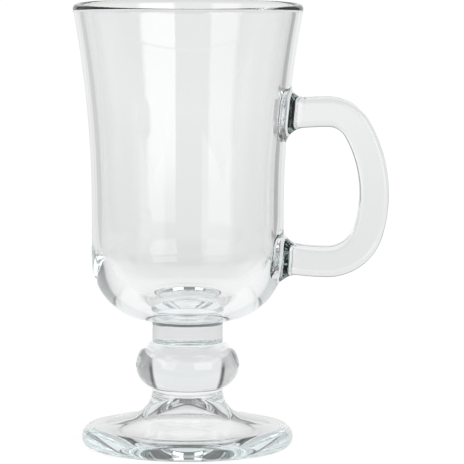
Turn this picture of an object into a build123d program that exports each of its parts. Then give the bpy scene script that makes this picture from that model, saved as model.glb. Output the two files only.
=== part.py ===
# Irish coffee mug of clear glass: a flared bowl with a D-shaped handle, on a knopped stem with a hollow foot.
# Millimetres, +Z up. The origin is on the mug's axis, on the table. The handle points to +X.
from build123d import *
from math import acos, cos, degrees, radians, sin, sqrt, tan
import os

# Foot: a spreading disc with a thick round edge, hollow underneath
foot_radius = 34.55
foot_edge_thickness = 7.4
foot_slope = 12.7  # degrees that the top of the foot falls towards its edge
foot_neck_fillet = 9.0
foot_neck_land = 0.33  # straight part of the neck, just under the knop
rest_ring_width = 1.6
hollow_height = 16.0
hollow_cap_radius = 3.0  # reach of the hollow's flat top, to where it would meet the cone
hollow_cap_rounding = 2.0
hollow_cone_radius = 11.0  # foot of the cone under the cap, where the skirt spreads to the ring
hollow_cone_level = 8.5

# Stem: a plain collar over a round knop
stem_radius = 11.5
knop_radius = 16.85
knop_curve = 7.75  # radius of the knop's outline
knop_fillet = 0.5
collar_height = 4.57

# Bowl: straight in the lower body, flared above it, round below
body_radius = 31.3
body_straight = 16.0
rim_flare = 6.1  # how much wider the rim is than the body
flare_height = 65.2
wall = 3.1
bowl_turn_radius = 20.0  # outer radius between the body and the bottom
boss_fillet = 1.8
boss_land = 0.89  # straight part of the boss, just over the collar
floor_height = 7.0  # from the boss's face up to the inside of the bowl
floor_crown = 65.0  # radius of the dished floor inside
floor_knuckle = 18.7  # radius between that floor and the wall

# Handle: a D of rounded rectangular bar, flared where it is stuck to the bowl
finger_gap = 24.6  # between the body and the inside of the handle, at its widest
bar_width = 9.5
bar_depth = 11.0
bar_rounding = 1.7
upper_arm_rise = 32.2  # crown of the upper arm's centre line over the start of the flare
lower_arm_drop = 0.8  # lowest point of the lower arm's centre line under the start of the straight body
belly_rise = 5.5  # widest point of the handle over the start of the flare
handle_side_radius = 43.0
upper_corner_radius = 11.0
lower_corner_radius = 14.0
upper_root_lean = 1.9  # how far each arm's end leans towards the middle of the handle
lower_root_lean = 2.6
pad_flare = 5.5  # fillet between the bar and the bowl
pad_edge = 0.15  # depth from the bowl's surface at which that fillet would run out

os.makedirs("parts", exist_ok=True)

# Levels, from the table up
edge_radius = foot_edge_thickness / 2
edge_centre = foot_radius - edge_radius
slope_outer = edge_centre + edge_radius * sin(radians(foot_slope))
slope_level = edge_radius + edge_radius * cos(radians(foot_slope))
foot_knee = slope_level + (slope_outer - stem_radius) * tan(radians(foot_slope))
foot_height = foot_knee + foot_neck_fillet * tan(radians((90 - foot_slope) / 2)) + foot_neck_land
knop_centre = knop_radius - knop_curve
knop_reach = stem_radius + knop_fillet - knop_centre
knop_half = sqrt((knop_curve + knop_fillet) ** 2 - knop_reach ** 2)
knop_middle = foot_height + knop_half
knop_top = knop_middle + knop_half
bowl_base = knop_top + collar_height
boss_top = bowl_base + boss_land
turn_centre = body_radius - bowl_turn_radius
boss_centre = stem_radius + boss_fillet
turn_drop = sqrt((bowl_turn_radius + boss_fillet) ** 2 - (boss_centre - turn_centre) ** 2)
turn_level = boss_top + turn_drop
flare_level = turn_level + body_straight
rim_level = flare_level + flare_height
rim_radius = body_radius + rim_flare
floor_level = bowl_base + floor_height

# Foot
ring_inner = edge_centre - rest_ring_width
with BuildPart() as foot:
    with BuildSketch(Plane.YZ):
        with BuildLine():
            Line((0, foot_height), (stem_radius, foot_height))
            FilletPolyline(
                (stem_radius, foot_height),
                (stem_radius, foot_knee),
                (slope_outer, slope_level),
                radius=foot_neck_fillet,
            )
            ThreePointArc(
                (slope_outer, slope_level),
                (foot_radius, edge_radius),
                (edge_centre, 0),
            )
            Line((edge_centre, 0), (ring_inner, 0))
            cap = FilletPolyline(
                (0, hollow_height),
                (hollow_cap_radius, hollow_height),
                (hollow_cone_radius, hollow_cone_level),
                radius=hollow_cap_rounding,
            )
            TangentArc((hollow_cone_radius, hollow_cone_level), (ring_inner, 0), tangent=cap % 1)
            Line((0, hollow_height), (0, foot_height))
        make_face()
    revolve(axis=Axis.Z)
foot.part.label = "foot"
export_step(foot.part, "parts/foot.step")

# Knop: a round bead with a small fillet to the neck at either end
knop_share = knop_curve / (knop_curve + knop_fillet)
knop_side = knop_centre + knop_reach * knop_share
knop_rise = knop_half * knop_share
with BuildPart() as stem_knop:
    with BuildSketch(Plane.YZ):
        with BuildLine():
            Line((0, foot_height), (stem_radius, foot_height))
            TangentArc((stem_radius, foot_height), (knop_side, knop_middle - knop_rise), tangent=(0, 1))
            bead = ThreePointArc(
                (knop_side, knop_middle - knop_rise),
                (knop_radius, knop_middle),
                (knop_side, knop_middle + knop_rise),
            )
            TangentArc((knop_side, knop_middle + knop_rise), (stem_radius, knop_top), tangent=bead % 1)
            Polyline((stem_radius, knop_top), (0, knop_top), (0, foot_height))
        make_face()
    revolve(axis=Axis.Z)
stem_knop.part.label = "stem_knop"
export_step(stem_knop.part, "parts/stem_knop.step")

# Collar
with BuildPart() as stem_collar:
    with BuildSketch(Plane.XY.offset(knop_top)):
        Circle(stem_radius)
    extrude(amount=collar_height)
stem_collar.part.label = "stem_collar"
export_step(stem_collar.part, "parts/stem_collar.step")

# Bowl: the outline runs up the outside, over the lip and down the inside
boss_share = bowl_turn_radius / (bowl_turn_radius + boss_fillet)
boss_end = (
    turn_centre + (boss_centre - turn_centre) * boss_share,
    turn_level - turn_drop * boss_share,
)
inner_radius = body_radius - wall
knuckle_centre = inner_radius - floor_knuckle
crown_level = floor_level + floor_crown
knuckle_drop = sqrt((floor_crown - floor_knuckle) ** 2 - knuckle_centre ** 2)
knuckle_level = crown_level - knuckle_drop
knuckle_share = floor_crown / (floor_crown - floor_knuckle)
knuckle_end = (knuckle_centre * knuckle_share, crown_level - knuckle_drop * knuckle_share)
with BuildPart() as bowl:
    with BuildSketch(Plane.YZ):
        with BuildLine():
            Polyline((0, bowl_base), (stem_radius, bowl_base), (stem_radius, boss_top))
            boss = TangentArc((stem_radius, boss_top), boss_end, tangent=(0, 1))
            TangentArc(boss_end, (body_radius, turn_level), tangent=boss % 1)
            Line((body_radius, turn_level), (body_radius, flare_level))
            flare = TangentArc((body_radius, flare_level), (rim_radius, rim_level), tangent=(0, 1))
            rim = flare @ 1
            up = flare % 1
            inner_rim = rim + Vector(-up.Y, up.X) * wall
            ThreePointArc(rim, (rim + inner_rim) * 0.5 + up * (wall / 2), inner_rim)
            TangentArc(inner_rim, (inner_radius, flare_level), tangent=up * -1)
            Line((inner_radius, flare_level), (inner_radius, knuckle_level))
            knuckle = TangentArc((inner_radius, knuckle_level), knuckle_end, tangent=(0, -1))
            TangentArc(knuckle_end, (0, floor_level), tangent=knuckle % 1)
            Line((0, floor_level), (0, bowl_base))
        make_face()
    revolve(axis=Axis.Z)
bowl.part.label = "bowl"
export_step(bowl.part, "parts/bowl.step")


def outside_of_bowl(inset):
    """The bowl's outer wall as a half outline filled to the axis, all of it moved in by the inset."""
    radius = bowl_turn_radius - inset
    bottom = turn_level - radius
    with BuildSketch(Plane.YZ) as outline:
        with BuildLine():
            Line((0, bottom), (turn_centre, bottom))
            TangentArc((turn_centre, bottom), (body_radius - inset, turn_level), tangent=(1, 0))
            Line((body_radius - inset, turn_level), (body_radius - inset, flare_level))
            TangentArc((body_radius - inset, flare_level), (rim_radius - inset, rim_level), tangent=(0, 1))
            Polyline((rim_radius - inset, rim_level), (0, rim_level), (0, bottom))
        make_face()
    return outline.sketch


# Handle: its centre line is a D of tangent arcs, from the upper arm round to the lower arm
upper_arm = flare_level + upper_arm_rise
lower_arm = turn_level - lower_arm_drop
belly = flare_level + belly_rise
side_centre = body_radius + finger_gap + bar_width / 2 - handle_side_radius
upper_spread = upper_arm - upper_corner_radius - belly
lower_spread = belly - lower_arm - lower_corner_radius
upper_turn = degrees(acos(upper_spread / (handle_side_radius - upper_corner_radius)))
lower_turn = degrees(acos(lower_spread / (handle_side_radius - lower_corner_radius)))
upper_corner = side_centre + (handle_side_radius - upper_corner_radius) * sin(radians(upper_turn))
lower_corner = side_centre + (handle_side_radius - lower_corner_radius) * sin(radians(lower_turn))
root = body_radius - bar_width / 2


def meets_wall(edge):
    """Does this edge run where the handle's bar comes out of the bowl?"""
    ends = sorted([(edge @ 0).X, (edge @ 1).X])
    return root < ends[0] and ends[1] < rim_radius


with BuildPart() as handle:
    with BuildLine(Plane.XZ) as centre_line:
        TangentArc((upper_corner, upper_arm), (root, upper_arm - upper_root_lean), tangent=(-1, 0))
        CenterArc((upper_corner, upper_arm - upper_corner_radius), upper_corner_radius, 90, -upper_turn)
        CenterArc((side_centre, belly), handle_side_radius, 90 - upper_turn, upper_turn + lower_turn - 180)
        CenterArc((lower_corner, lower_arm + lower_corner_radius), lower_corner_radius, lower_turn - 90, -lower_turn)
        TangentArc((lower_corner, lower_arm), (root, lower_arm + lower_root_lean), tangent=(-1, 0))
    path = centre_line.wire()
    with BuildSketch(Plane(origin=path @ 0, x_dir=(0, 1, 0), z_dir=path % 0)):
        RectangleRounded(bar_depth, bar_width, bar_rounding)
    sweep(path=path)
    revolve(outside_of_bowl(pad_edge), axis=Axis.Z)
    fillet(handle.edges().filter_by(meets_wall), radius=pad_flare)
    revolve(outside_of_bowl(0), axis=Axis.Z, mode=Mode.SUBTRACT)
handle.part.label = "handle"
export_step(handle.part, "parts/handle.step")
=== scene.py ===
from math import acos, asin, atan2, cos, degrees, hypot, pi, radians, sin, sqrt, tan

import bmesh
import bpy
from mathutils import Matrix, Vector


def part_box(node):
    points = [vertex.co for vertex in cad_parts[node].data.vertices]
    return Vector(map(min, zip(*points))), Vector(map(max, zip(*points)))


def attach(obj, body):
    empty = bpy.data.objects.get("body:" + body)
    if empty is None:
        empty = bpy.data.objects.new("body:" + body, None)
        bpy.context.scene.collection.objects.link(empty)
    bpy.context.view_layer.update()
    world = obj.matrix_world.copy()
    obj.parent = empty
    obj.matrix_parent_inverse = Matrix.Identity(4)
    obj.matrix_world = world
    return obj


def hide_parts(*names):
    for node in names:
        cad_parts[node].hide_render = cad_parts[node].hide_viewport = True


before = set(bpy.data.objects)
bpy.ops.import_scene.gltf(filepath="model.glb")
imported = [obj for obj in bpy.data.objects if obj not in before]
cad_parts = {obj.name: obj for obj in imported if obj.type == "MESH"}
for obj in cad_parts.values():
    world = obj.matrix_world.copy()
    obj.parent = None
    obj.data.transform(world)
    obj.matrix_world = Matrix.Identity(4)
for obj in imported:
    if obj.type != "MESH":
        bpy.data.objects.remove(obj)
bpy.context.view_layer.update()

# Foot: the disc that the mug stands on, pressed from clear glass while hot.
# Its top falls from the neck to a thick round edge, and it is hollow underneath,
# so that only a narrow ring touches the table.
mm = 0.001
foot_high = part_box("foot")[1]
collar_low, collar_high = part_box("stem_collar")
foot_radius = foot_high.y
foot_top = foot_high.z
stem_radius = collar_high.y
foot_edge_radius = 3.7 * mm
foot_slope = 12.7  # degrees
neck_fillet = 9.0 * mm
ring_width = 1.6 * mm
hollow_height = 16.0 * mm
hollow_cap = 3.0 * mm
hollow_rounding = 2.0 * mm
hollow_cone = Vector((11.0, 8.5)) * mm
foot_steps = 20  # along each stretch of the outline
round_steps = 256  # round the mug's axis
merge_distance = 0.001 * mm
smooth_angle = 30  # degrees; edges that turn more stay sharp
seam_gap = 0.005 * mm  # left between a piece and the level of its seam
seam_reach = 4 * seam_gap  # points this near to that level are in the seam
glass_bending = 1.5
glass_tint = (0.64, 0.88, 0.90, 1)
tint_density = 3.5
wave_length = 14.0 * mm
wave_height = 0.02 * mm
wave_detail = 1.0
dull_from = 0.45  # strength of the waves where the glass begins to be dull
dull_to = 0.75
dullest = 0.01


def start_outline(level):
    """An outline that starts on the mug's axis. Its points are a place, a handle in and a handle out."""
    return [[Vector((0, level))] * 3]


def curve_to(outline, leave, arrive, end):
    """Goes on with an outline: out towards one handle, in from the other, to the end."""
    outline[-1][2] = leave
    outline.append([end, arrive, end])


def line_to(outline, end):
    """Goes on with a straight stretch."""
    start = outline[-1][0]
    curve_to(outline, start.lerp(end, 1 / 3), start.lerp(end, 2 / 3), end)


def heading(angle):
    """The way that an angle in degrees points: 0 is outwards, 90 is up."""
    return Vector((cos(radians(angle)), sin(radians(angle))))


def arc_to(outline, end, leaving, arriving):
    """Goes on with a round stretch that leaves and arrives at these headings."""
    start = outline[-1][0]
    turn = radians(abs(arriving - leaving))
    reach = (end - start).length * 2 / 3 * tan(turn / 4) / sin(turn / 2)
    curve_to(outline, start + heading(leaving) * reach, end - heading(arriving) * reach, end)


def turn_glass(name, outline, steps):
    """Draws a half outline as a curve and turns it round the mug's axis."""
    bpy.ops.object.select_all(action="DESELECT")
    bpy.ops.curve.primitive_bezier_curve_add(location=(0, 0, 0))
    piece = bpy.context.object
    piece.name = name
    spline = piece.data.splines[0]
    spline.bezier_points.add(len(outline) - 2)
    for point, (place, arrive, leave) in zip(spline.bezier_points, outline):
        point.handle_left_type = "FREE"
        point.handle_right_type = "FREE"
        point.co = (place.x, 0, place.y)
        point.handle_left = (arrive.x, 0, arrive.y)
        point.handle_right = (leave.x, 0, leave.y)
    piece.data.resolution_u = steps
    spline.resolution_u = steps
    bpy.ops.object.convert(target="MESH")
    bpy.ops.object.mode_set(mode="EDIT")
    bpy.ops.mesh.select_all(action="SELECT")
    bpy.ops.mesh.spin(steps=round_steps, angle=2 * pi, center=(0, 0, 0), axis=(0, 0, 1))
    bpy.ops.mesh.select_all(action="SELECT")
    bpy.ops.mesh.remove_doubles(threshold=merge_distance)
    bpy.ops.mesh.normals_make_consistent(inside=False)
    bpy.ops.object.mode_set(mode="OBJECT")
    bpy.ops.object.shade_smooth_by_angle(angle=radians(smooth_angle))
    return piece


def mark_seams(piece, distance):
    """Stores how far each point lies outside the seams with the next pieces, below 0 inside one."""
    seam = piece.data.attributes.get("seam") or piece.data.attributes.new("seam", "FLOAT", "POINT")
    for point, value in zip(piece.data.vertices, seam.data):
        value.value = distance(point.co)


def on_discs(*levels):
    """Gives how far a point lies outside the flat round seams of the stem at these levels."""
    def distance(place):
        level = min(abs(place.z - seam) for seam in levels)
        edge = hypot(place.x, place.y) - stem_radius
        return max(edge, level - seam_reach)
    return distance


glass = bpy.data.materials.new("clear_glass")
glass.use_nodes = True
nodes = glass.node_tree.nodes
links = glass.node_tree.links
body = nodes["Principled BSDF"]
body.inputs["Base Color"].default_value = (1, 1, 1, 1)
body.inputs["Transmission Weight"].default_value = 1.0
body.inputs["IOR"].default_value = glass_bending
place = nodes.new("ShaderNodeTexCoord")
waves = nodes.new("ShaderNodeTexNoise")
waves.inputs["Scale"].default_value = 1 / wave_length
waves.inputs["Detail"].default_value = wave_detail
links.new(place.outputs["Object"], waves.inputs["Vector"])
ripple = nodes.new("ShaderNodeBump")
ripple.inputs["Distance"].default_value = wave_height
links.new(waves.outputs["Fac"], ripple.inputs["Height"])
links.new(ripple.outputs["Normal"], body.inputs["Normal"])
seam = nodes.new("ShaderNodeAttribute")
seam.attribute_name = "seam"
joined = nodes.new("ShaderNodeMath")
joined.operation = "LESS_THAN"
joined.inputs[1].default_value = 0.0
links.new(seam.outputs["Fac"], joined.inputs[0])
bending = nodes.new("ShaderNodeMapRange")
bending.inputs["To Min"].default_value = glass_bending
bending.inputs["To Max"].default_value = 1.0
links.new(joined.outputs[0], bending.inputs["Value"])
links.new(bending.outputs[0], body.inputs["IOR"])
polish = nodes.new("ShaderNodeMapRange")
polish.inputs["From Min"].default_value = dull_from
polish.inputs["From Max"].default_value = dull_to
polish.inputs["To Max"].default_value = dullest
links.new(waves.outputs["Fac"], polish.inputs["Value"])
even = nodes.new("ShaderNodeMapRange")
even.inputs["To Max"].default_value = 0.0
links.new(joined.outputs[0], even.inputs["Value"])
links.new(polish.outputs[0], even.inputs["To Min"])
links.new(even.outputs[0], body.inputs["Roughness"])
tint = nodes.new("ShaderNodeVolumeAbsorption")
tint.inputs["Color"].default_value = glass_tint
tint.inputs["Density"].default_value = tint_density
links.new(tint.outputs[0], nodes["Material Output"].inputs["Volume"])


def finish_glass(piece, node):
    """Gives a piece its glass, hangs it under the root body and hides the CAD node that it stands for.
    """
    piece.data.materials.clear()
    piece.data.materials.append(glass)
    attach(piece, "root")
    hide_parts(node)


edge_middle = foot_radius - foot_edge_radius
slope_end = Vector((edge_middle, foot_edge_radius)) + heading(90 - foot_slope) * foot_edge_radius
knee = Vector((stem_radius, slope_end.y + (slope_end.x - stem_radius) * tan(radians(foot_slope))))
neck_reach = neck_fillet * tan(radians(45 - foot_slope / 2))
ring_inner = edge_middle - ring_width
cap_corner = Vector((hollow_cap, hollow_height))
cone_side = cap_corner - hollow_cone
cone_turn = degrees(atan2(cone_side.y, cone_side.x))
skirt = hollow_cone - Vector((ring_inner, 0))
skirt_turn = 2 * degrees(atan2(skirt.y, skirt.x)) - cone_turn
cap_reach = hollow_rounding * tan(radians(90 - cone_turn / 2))

foot_outline = start_outline(foot_top - seam_gap)
line_to(foot_outline, Vector((stem_radius, foot_top - seam_gap)))
line_to(foot_outline, knee + heading(90) * neck_reach)
arc_to(foot_outline, knee + heading(-foot_slope) * neck_reach, -90, -foot_slope)
line_to(foot_outline, slope_end)
arc_to(foot_outline, Vector((foot_radius, foot_edge_radius)), -foot_slope, -90)
arc_to(foot_outline, Vector((edge_middle, 0)), -90, -180)
line_to(foot_outline, Vector((ring_inner, 0)))
arc_to(foot_outline, hollow_cone, skirt_turn, cone_turn)
line_to(foot_outline, cap_corner - heading(cone_turn) * cap_reach)
arc_to(foot_outline, cap_corner + heading(180) * cap_reach, cone_turn, 180)
line_to(foot_outline, Vector((0, hollow_height)))
foot = turn_glass("glass_foot", foot_outline, foot_steps)
mark_seams(foot, on_discs(foot_top))
finish_glass(foot, "foot")

# Knop: the round bead in the middle of the stem.
# It is solid glass, stuck hot to the foot's neck below it and to the collar above.
knop_low, knop_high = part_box("stem_knop")
knop_radius = knop_high.y
knop_middle = (knop_low.z + knop_high.z) / 2
knop_half = (knop_high.z - knop_low.z) / 2
knop_curve = 7.75 * mm
knop_fillet = 0.5 * mm
knop_steps = 32
knop_turn = degrees(asin(knop_half / (knop_curve + knop_fillet)))
knop_heart = Vector((knop_radius - knop_curve, knop_middle))

knop_outline = start_outline(knop_low.z + seam_gap)
line_to(knop_outline, Vector((stem_radius, knop_low.z + seam_gap)))
arc_to(knop_outline, knop_heart + heading(-knop_turn) * knop_curve, 90, 90 - knop_turn)
arc_to(knop_outline, Vector((knop_radius, knop_middle)), 90 - knop_turn, 90)
arc_to(knop_outline, knop_heart + heading(knop_turn) * knop_curve, 90, 90 + knop_turn)
arc_to(knop_outline, Vector((stem_radius, knop_high.z - seam_gap)), 90 + knop_turn, 90)
line_to(knop_outline, Vector((0, knop_high.z - seam_gap)))
stem_knop = turn_glass("glass_knop", knop_outline, knop_steps)
mark_seams(stem_knop, on_discs(knop_low.z, knop_high.z))
finish_glass(stem_knop, "stem_knop")

# Collar: the short plain drum of glass that carries the bowl on the knop.
# It has the same thickness as the foot's neck, and no edge shows where it is stuck.
collar_steps = 12

collar_outline = start_outline(collar_low.z + seam_gap)
line_to(collar_outline, Vector((stem_radius, collar_low.z + seam_gap)))
line_to(collar_outline, Vector((stem_radius, collar_high.z - seam_gap)))
line_to(collar_outline, Vector((0, collar_high.z - seam_gap)))
stem_collar = turn_glass("glass_collar", collar_outline, collar_steps)
mark_seams(stem_collar, on_discs(collar_low.z, collar_high.z))
finish_glass(stem_collar, "stem_collar")

# Bowl: the cup itself, blown in a mould from clear glass.
# The wall runs straight up from a round bottom, flares out to the rim and ends in a
# fire-polished lip; the floor is thick, with a short boss under it for the stem.
bowl_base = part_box("bowl")[0].z
body_radius = 31.3 * mm
wall = 3.1 * mm
turn_radius = 20.0 * mm
boss_fillet = 1.8 * mm
boss_land = 0.89 * mm
body_straight = 16.0 * mm
flare_height = 65.2 * mm
rim_flare = 6.1 * mm
floor_height = 7.0 * mm
floor_crown = 65.0 * mm
floor_knuckle = 18.7 * mm
bowl_steps = 22

turn_middle = body_radius - turn_radius
boss_middle = stem_radius + boss_fillet
turn_drop = sqrt((turn_radius + boss_fillet) ** 2 - (boss_middle - turn_middle) ** 2)
turn_level = bowl_base + boss_land + turn_drop
flare_level = turn_level + body_straight
rim_level = flare_level + flare_height
boss_heading = degrees(asin((boss_middle - turn_middle) / (turn_radius + boss_fillet)))
boss_end = Vector((turn_middle, turn_level)) + heading(boss_heading - 90) * turn_radius
flare_curve = (flare_height ** 2 + rim_flare ** 2) / (2 * rim_flare)
flare_turn = degrees(asin(flare_height / flare_curve))
flare_middle = Vector((body_radius + flare_curve, flare_level))
flare_halfway = flare_middle + heading(180 - flare_turn / 2) * flare_curve
outer_rim = Vector((body_radius + rim_flare, rim_level))
lip_across = heading(180 - flare_turn)
lip_top = outer_rim + (lip_across + heading(90 - flare_turn)) * (wall / 2)
inner_rim = outer_rim + lip_across * wall
inner_radius = body_radius - wall
floor_level = bowl_base + floor_height
knuckle_in = inner_radius - floor_knuckle
knuckle_turn = degrees(asin(knuckle_in / (floor_crown - floor_knuckle)))
knuckle_rise = floor_crown - (floor_crown - floor_knuckle) * cos(radians(knuckle_turn))
knuckle_middle = Vector((knuckle_in, floor_level + knuckle_rise))
knuckle_end = knuckle_middle + heading(knuckle_turn - 90) * floor_knuckle

bowl_outline = start_outline(bowl_base + seam_gap)
line_to(bowl_outline, Vector((stem_radius, bowl_base + seam_gap)))
line_to(bowl_outline, Vector((stem_radius, bowl_base + boss_land)))
arc_to(bowl_outline, boss_end, 90, boss_heading)
arc_to(bowl_outline, Vector((body_radius, turn_level)), boss_heading, 90)
line_to(bowl_outline, Vector((body_radius, flare_level)))
arc_to(bowl_outline, flare_halfway, 90, 90 - flare_turn / 2)
arc_to(bowl_outline, outer_rim, 90 - flare_turn / 2, 90 - flare_turn)
arc_to(bowl_outline, lip_top, 90 - flare_turn, 180 - flare_turn)
arc_to(bowl_outline, inner_rim, 180 - flare_turn, 270 - flare_turn)
arc_to(bowl_outline, Vector((inner_radius, flare_level)), 270 - flare_turn, 270)
line_to(bowl_outline, Vector((inner_radius, knuckle_middle.y)))
arc_to(bowl_outline, knuckle_end, -90, knuckle_turn - 180)
arc_to(bowl_outline, Vector((0, floor_level)), 180 + knuckle_turn, 180)
bowl = turn_glass("glass_bowl", bowl_outline, bowl_steps)
mark_seams(bowl, on_discs(bowl_base))
finish_glass(bowl, "bowl")

# Handle: a D of rounded rectangular glass bar at the side of the bowl.
# Its two ends are pressed on to the hot wall and spread there into flared pads.
handle_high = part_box("handle")[1]
bar_width = 9.5 * mm
bar_depth = 11.0 * mm
bar_rounding = 1.7 * mm
side_radius = 43.0 * mm
upper_corner_radius = 11.0 * mm
lower_corner_radius = 14.0 * mm
upper_arm_rise = 32.2 * mm
lower_arm_drop = 0.8 * mm
belly_rise = 5.5 * mm
upper_lean = 1.9 * mm
lower_lean = 2.6 * mm
bar_clear = 6.5 * mm  # the plain bar stops this far off the body, and the flared part follows
pad_flare = 5.5 * mm
pad_edge = 0.15 * mm
pad_gap = 0.012 * mm  # left between a pad and the bowl's wall
pad_near = 4 * pad_gap  # points this near to the wall are in a pad's seam
pad_margin = 3.0 * mm  # the bowl's points farther out than this from a pad aren't tried
wall_side = 0.7 * body_radius  # both pads lie farther out towards the handle than this
ray_start = 0.1  # rays towards the wall start this far out from a point
no_seam = 1.0 * mm
rounding_steps = 10
flat_cuts = 7
upper_corner_steps = 20
side_steps = 36
lower_corner_steps = 24
arm_steps = 8
flare_steps = 14
pad_rings = 5
handle_merge = 0.002 * mm
handle_smooth_angle = 40

upper_arm = flare_level + upper_arm_rise
lower_arm = turn_level - lower_arm_drop
belly = flare_level + belly_rise
side_middle = handle_high.x - bar_width - (side_radius - bar_width / 2)
upper_spread = upper_arm - upper_corner_radius - belly
lower_spread = belly - lower_arm - lower_corner_radius
upper_turn = degrees(acos(upper_spread / (side_radius - upper_corner_radius)))
lower_turn = degrees(acos(lower_spread / (side_radius - lower_corner_radius)))
upper_corner = side_middle + (side_radius - upper_corner_radius) * sin(radians(upper_turn))
lower_corner = side_middle + (side_radius - lower_corner_radius) * sin(radians(lower_turn))
root = body_radius - bar_width / 2
bar_end = body_radius + bar_clear
bar_start = Vector((upper_corner, 0, upper_arm))

bpy.ops.object.select_all(action="DESELECT")
bpy.ops.mesh.primitive_plane_add(size=1, location=bar_start, rotation=(0, pi / 2, 0))
handle = bpy.context.object
handle.name = "glass_handle"
bpy.ops.object.transform_apply(location=True, rotation=True, scale=True)
bpy.ops.object.mode_set(mode="EDIT")
bpy.ops.mesh.select_all(action="SELECT")
bpy.ops.transform.resize(value=(1, bar_depth, bar_width), center_override=bar_start)
bpy.ops.mesh.bevel(offset=bar_rounding, segments=rounding_steps, affect="VERTICES")
ring = bmesh.from_edit_mesh(handle.data)
for edge in ring.edges:
    edge.select_set(edge.calc_length() > bar_rounding)
bpy.ops.mesh.select_mode(type="EDGE")
bpy.ops.mesh.subdivide(number_cuts=flat_cuts)
bpy.ops.mesh.select_all(action="SELECT")
bpy.ops.mesh.delete(type="ONLY_FACE")
bpy.ops.mesh.select_mode(type="VERT")


def sweep_bar(x, z, turn, steps):
    """Carries the selected end of the bar on round the point x, z by an angle in degrees."""
    bpy.ops.mesh.spin(steps=steps, angle=radians(turn), center=(x, 0, z), axis=(0, 1, 0))


def arm_curve(corner, lean):
    """Radius of the slight curve from an arm's corner in to its root."""
    return ((corner - root) ** 2 + lean ** 2) / (2 * lean)


def select_end(place):
    """Selects the open edge of the bar nearest to a place."""
    mesh = bmesh.from_edit_mesh(handle.data)
    for vert in mesh.verts:
        vert.select_set(vert.is_boundary and (vert.co - place).length < bar_depth)
    mesh.select_flush_mode()
    bmesh.update_edit_mesh(handle.data)


upper_arm_curve = arm_curve(upper_corner, upper_lean)
lower_arm_curve = arm_curve(lower_corner, lower_lean)
upper_arm_turn = degrees(asin((upper_corner - bar_end) / upper_arm_curve))
lower_arm_turn = degrees(asin((lower_corner - bar_end) / lower_arm_curve))
bpy.ops.mesh.select_all(action="SELECT")
sweep_bar(upper_corner, upper_arm - upper_corner_radius, -upper_turn, upper_corner_steps)
sweep_bar(side_middle, belly, upper_turn + lower_turn - 180, side_steps)
sweep_bar(lower_corner, lower_arm + lower_corner_radius, -lower_turn, lower_corner_steps)
sweep_bar(lower_corner, lower_arm + lower_arm_curve, -lower_arm_turn, arm_steps)
select_end(bar_start)
sweep_bar(upper_corner, upper_arm - upper_arm_curve, upper_arm_turn, arm_steps)


def spread(across, along, reach):
    """Moves a point of the bar's outline out until it stands off the core by the reach."""
    core = Vector((
        max(-bar_depth / 2 + bar_rounding, min(bar_depth / 2 - bar_rounding, across)),
        max(-bar_width / 2 + bar_rounding, min(bar_width / 2 - bar_rounding, along)),
    ))
    return core + (Vector((across, along)) - core).normalized() * reach


def stand_off(rise):
    """How far the flared bar's outline stands off its core, at a height over the wall."""
    return bar_rounding + pad_flare - sqrt(pad_flare ** 2 - (pad_flare - rise) ** 2)


def press_on(middle, inwards, side):
    """Flares an end of the bar down to the bowl and closes it with a pad on the wall."""
    def next_ring(placed, lift):
        """Goes on with the selected ring: its points are placed anew, over the wall by the lift."""
        bpy.ops.mesh.extrude_edges_move()
        mesh = bmesh.from_edit_mesh(handle.data)
        for vert in mesh.verts:
            if vert.select:
                local = vert.co - middle
                place = placed(local.y, local.dot(side))
                start = middle + Vector((0, place.x, 0)) + side * place.y
                hit = bowl.ray_cast(start, inwards)[1]
                vert.co = hit - inwards * lift
        bmesh.update_edit_mesh(handle.data)

    for step in range(flare_steps + 1):
        rise = max(pad_flare * (1 - sin(pi / 2 * step / flare_steps)), pad_edge)
        reach = stand_off(rise)
        next_ring(lambda across, along: spread(across, along, reach), rise - pad_edge + pad_gap)
    for ring in range(pad_rings - 1, 0, -1):
        next_ring(lambda across, along: Vector((across, along)) * ring / (ring + 1), pad_gap)
    bpy.ops.mesh.edge_face_add()
    bpy.ops.mesh.poke()


def pad_place(corner, level, lean_curve):
    """Middle of an arm's end, the way it points, and the way that is square to it."""
    turn = asin((corner - bar_end) / abs(lean_curve))
    inwards = Vector((-cos(turn), 0, sin(turn) * (1 if lean_curve > 0 else -1)))
    side = Vector((inwards.z, 0, -inwards.x))
    middle = Vector((bar_end, 0, level + lean_curve * (1 - cos(turn))))
    return middle, inwards, side


pads = (
    pad_place(upper_corner, upper_arm, -upper_arm_curve),
    pad_place(lower_corner, lower_arm, lower_arm_curve),
)
for pad in pads:
    select_end(pad[0])
    press_on(*pad)
bpy.ops.mesh.select_all(action="SELECT")
bpy.ops.mesh.remove_doubles(threshold=handle_merge)
bpy.ops.mesh.normals_make_consistent(inside=False)
bpy.ops.object.mode_set(mode="OBJECT")
bpy.ops.object.shade_smooth_by_angle(angle=radians(handle_smooth_angle))

pad_reach = stand_off(pad_edge)


def in_pads(place):
    """How far a point lies outside the outlines of the handle's pads."""
    distances = []
    for middle, inwards, side in pads:
        local = place - middle
        across = abs(local.y) - bar_depth / 2 + bar_rounding
        along = abs(local.dot(side)) - bar_width / 2 + bar_rounding
        corner = hypot(max(across, 0), max(along, 0))
        distances.append(corner + min(max(across, along), 0) - pad_reach)
    return min(distances)


def on_wall(place):
    """Is this point on the bowl's outer wall, on the handle's side?"""
    if place.x < wall_side:
        return False
    start = place + Vector((ray_start, 0, 0))
    found, hit, normal, face = bowl.ray_cast(start, Vector((-1, 0, 0)))
    return found and abs(hit.x - place.x) < pad_near


def handle_seam(place):
    """How far a point of the handle lies outside its seams with the bowl."""
    return in_pads(place) if on_wall(place) else no_seam


def bowl_seam(place):
    """How far a point of the bowl lies outside its seams with the handle and the collar."""
    pad = in_pads(place)
    if pad < pad_margin and on_wall(place):
        return pad
    return on_discs(bowl_base)(place)


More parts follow.
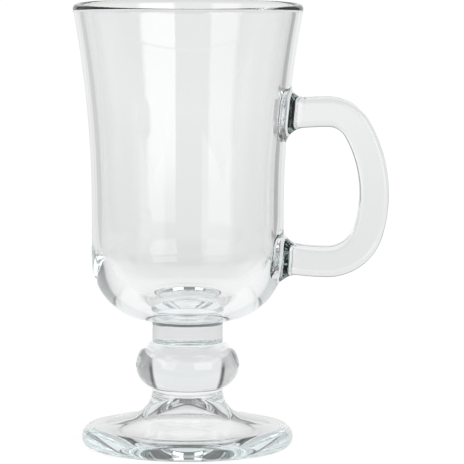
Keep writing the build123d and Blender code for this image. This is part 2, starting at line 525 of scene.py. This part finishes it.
mark_seams(handle, handle_seam)
mark_seams(bowl, bowl_seam)
finish_glass(handle, "handle")

# Floor: a long sheet of plain white paper under the mug and far out behind it.
# It looks white to the camera and takes the mug's shadow. Seen in the glass its glow is
# painted light and shade: pale behind the mug, a painted shade just in front of it, painted
# light under the foot with a painted shadow under its edge, and at its sides it goes over
# into the room's levels, paler on the left.
floor_half = 0.42
floor_front = 0.45
floor_back = 8.0
paper_grey = 0.35
paper_roughness = 0.9
paper_seen = 0.95  # levels of the floor's glow, first as the camera sees it
paper_by_mug = 0.89
# painted light on the paper under the foot, for light that comes through the glass
painted_light_under_foot = 0.85  # and then as it is seen in the glass
# painted shadow on the paper under the foot's thick edge, as seen in the glass
painted_ring_shadow = 0.58
# painted shade on the paper just in front of the mug, where the lamps' light falls off; it fades to the
# level farther in front
painted_front_shade = 0.08
paper_past = 0.48
# glow of the paper's sides seen in the glass: painted light, paler on the left, darker on the right
paper_left = 0.54
paper_right = 0.23
paper_near = 0.67
paper_far = 0.795
seen_span = (0.15, 0.60)  # metres over which one level goes over into the next
ring_shadow_span = (0.016, 0.030)
foot_span = (0.034, 0.045)
mug_span = (0.10, 0.20)
front_span = (-0.06, -0.03)
past_span = (-0.35, -0.06)
beside_span = (0.15, floor_half)
near_span = (0.10, 0.30)
far_span = (0.20, 1.50)
across_span = (-floor_half, floor_half)
switch = (0.0, 1.0)


def fade(tree, value, span, first, last):
    """A level that goes from the first to the last along a span of a value; both may be sockets."""
    node = tree.nodes.new("ShaderNodeMapRange")
    node.inputs["From Min"].default_value = span[0]
    node.inputs["From Max"].default_value = span[1]
    tree.links.new(value, node.inputs["Value"])
    for socket, level in (("To Min", first), ("To Max", last)):
        if isinstance(level, float):
            node.inputs[socket].default_value = level
        else:
            tree.links.new(level, node.inputs[socket])
    return node.outputs[0]


def split(tree, vector):
    """The X, Y and Z sockets of a vector socket."""
    parts = tree.nodes.new("ShaderNodeSeparateXYZ")
    tree.links.new(vector, parts.inputs[0])
    return parts.outputs


paper = bpy.data.materials.new("white_paper")
paper.use_nodes = True
sheet = paper.node_tree
spot = sheet.nodes.new("ShaderNodeTexCoord").outputs["Object"]
axes = split(sheet, spot)
aside = axes["X"]
depth = axes["Y"]
away = sheet.nodes.new("ShaderNodeVectorMath")
away.operation = "LENGTH"
sheet.links.new(spot, away.inputs[0])
reach = away.outputs["Value"]
out = sheet.nodes.new("ShaderNodeMath")
out.operation = "ABSOLUTE"
sheet.links.new(aside, out.inputs[0])
edges = fade(sheet, aside, across_span, paper_left, paper_right)
beside = fade(sheet, out.outputs[0], beside_span, paper_near, edges)
near = fade(sheet, depth, near_span, beside, paper_near)
behind = fade(sheet, depth, far_span, near, paper_far)
# painted light on the paper round and under the mug, going over into the levels behind it
round_mug = fade(sheet, reach, mug_span, painted_light_under_foot, behind)
# painted shade on the paper in front of the mug
shade_before_mug = fade(sheet, depth, past_span, paper_past, painted_front_shade)
past_front = fade(sheet, depth, front_span, shade_before_mug, round_mug)
# painted shadow under the foot's edge, round the painted light under the foot
under_foot_and_ring_shadow = fade(sheet, reach, ring_shadow_span, painted_light_under_foot, painted_ring_shadow)
painted_glow_in_glass = fade(sheet, reach, foot_span, under_foot_and_ring_shadow, past_front)
seen = fade(sheet, reach, seen_span, paper_by_mug, paper_seen)
path = sheet.nodes.new("ShaderNodeLightPath")
# in the glass and in reflections the paper shows the painted glow; to the camera its glow is an even
# white
in_glass = fade(sheet, path.outputs["Is Transmission Ray"], switch, 0.0, painted_glow_in_glass)
mirrored = fade(sheet, path.outputs["Is Glossy Ray"], switch, in_glass, painted_glow_in_glass)
glow = fade(sheet, path.outputs["Is Camera Ray"], switch, mirrored, seen)
matt = sheet.nodes["Principled BSDF"]
matt.inputs["Base Color"].default_value = (paper_grey, paper_grey, paper_grey, 1)
matt.inputs["Roughness"].default_value = paper_roughness
matt.inputs["Specular IOR Level"].default_value = 0.0
matt.inputs["Emission Color"].default_value = (1, 1, 1, 1)
sheet.links.new(glow, matt.inputs["Emission Strength"])
bpy.ops.object.select_all(action="DESELECT")
bpy.ops.mesh.primitive_plane_add(size=2, location=(0, 0, 0))
floor = bpy.context.object
floor.name = "floor"
floor.scale = (floor_half, (floor_front + floor_back) / 2, 1)
floor.location = (0, (floor_back - floor_front) / 2, 0)
bpy.ops.object.transform_apply(location=True, rotation=True, scale=True)
floor.data.materials.append(paper)

# Lamps: two soft boxes a metre in front of the mug, right and left of the camera.
# The room is pale behind the mug, with a narrow dark gap on either side, and pale low in
# front. It is dark high in front and overhead, and its left side is paler than its right.
box_target = Vector((0, 0, 0.07))
box_lowest = -12  # heights in degrees, seen from the mug
box_highest = 30
box_fade = (-8, 4)
room_left = 0.67
room_right = 0.36
room_front = 0.18
room_front_low = 0.60
room_back = 0.86
room_back_high = 0.70
room_gap = 0.12
ceiling = 0.18


def soft_box(name, turn, width, glow, low_glow):
    """A soft box that looks at the mug, turned off the camera's side by degrees.

    It is dimmer towards its lower edge, where its glow falls to the low share.
    """
    box_span = box_highest - box_lowest
    tilt = (box_lowest + box_highest) / 2
    height = 2 * tan(radians(box_span / 2))
    lamp = bpy.data.lights.new(name, "AREA")
    lamp.shape = "RECTANGLE"
    lamp.size = width
    lamp.size_y = height
    lamp.energy = glow * pi * width * height
    lamp.use_nodes = True
    tree = lamp.node_tree
    place = tree.nodes.new("ShaderNodeNewGeometry")
    grade = tree.nodes.new("ShaderNodeMapRange")
    grade.interpolation_type = "SMOOTHSTEP"
    grade.inputs["From Min"].default_value = (box_fade[0] - box_lowest) / box_span
    grade.inputs["From Max"].default_value = (box_fade[1] - box_lowest) / box_span
    grade.inputs["To Min"].default_value = low_glow
    grade.inputs["To Max"].default_value = 1.0
    tree.links.new(split(tree, place.outputs["Parametric"])["Y"], grade.inputs["Value"])
    tree.links.new(grade.outputs[0], tree.nodes["Emission"].inputs["Strength"])
    box = bpy.data.objects.new(name, lamp)
    bpy.context.scene.collection.objects.link(box)
    level = cos(radians(tilt))
    away = Vector((sin(radians(turn)) * level, -cos(radians(turn)) * level, sin(radians(tilt))))
    box.location = box_target + away
    box.rotation_euler = away.to_track_quat("Z", "Y").to_euler()
    box.visible_camera = False


soft_box("right_box", turn=37, width=0.73, glow=2.30, low_glow=0.3)
soft_box("left_box", turn=-43.5, width=0.59, glow=1.40, low_glow=0.4)


def heights(low, high):
    """A span of heights over the horizon, from degrees, as Z of a direction."""
    return sin(radians(low)), sin(radians(high))


def off_back(wide, narrow):
    """A span of angles off the way straight back, from degrees, as Y of a direction."""
    return cos(radians(wide)), cos(radians(narrow))


sides_span = (-1.0, 1.0)
walls_span = (-0.45, -0.15)
front_heights = heights(-2, 10)
back_heights = heights(10, 24)
gap_heights = heights(0, 5)
ceiling_heights = heights(30, 38)
gap_span = off_back(38, 35)
back_span = off_back(33, 30)
world = bpy.data.worlds.new("room")
world.use_nodes = True
bpy.context.scene.world = world
room = world.node_tree
room.nodes["Background"].inputs["Color"].default_value = (1, 1, 1, 1)
way = split(room, room.nodes.new("ShaderNodeTexCoord").outputs["Generated"])
sides = fade(room, way["X"], sides_span, room_left, room_right)
front = fade(room, way["Z"], front_heights, room_front_low, room_front)
walls = fade(room, way["Y"], walls_span, front, sides)
behind_mug = fade(room, way["Z"], back_heights, room_back, room_back_high)
dark = fade(room, way["Z"], gap_heights, walls, room_gap)
gap = fade(room, way["Y"], gap_span, walls, dark)
back = fade(room, way["Y"], back_span, gap, behind_mug)
above = fade(room, way["Z"], ceiling_heights, back, ceiling)
room_path = room.nodes.new("ShaderNodeLightPath")
room_seen = fade(room, room_path.outputs["Is Camera Ray"], switch, above, 1.0)
room.links.new(room_seen, room.nodes["Background"].inputs["Strength"])

# Camera: a long lens a little above the rim, as in the photo.
# It looks slightly down, and leans by a fraction of a degree.
camera_place = (0.01405, -1.220, 0.200)
camera_dip = 6.05  # degrees
camera_roll = -0.17
lens = 291.9
sensor_width = 36
glass_bounces = 40
mirror_bounces = 24
camera_data = bpy.data.cameras.new("camera")
camera_data.lens = lens
camera_data.sensor_width = sensor_width
camera = bpy.data.objects.new("camera", camera_data)
bpy.context.scene.collection.objects.link(camera)
camera.location = camera_place
camera.rotation_euler = (radians(90 - camera_dip), radians(camera_roll), 0)
bpy.context.scene.camera = camera
bpy.context.scene.view_settings.view_transform = "Standard"
bpy.context.scene.cycles.max_bounces = glass_bounces
bpy.context.scene.cycles.transmission_bounces = glass_bounces
bpy.context.scene.cycles.glossy_bounces = mirror_bounces
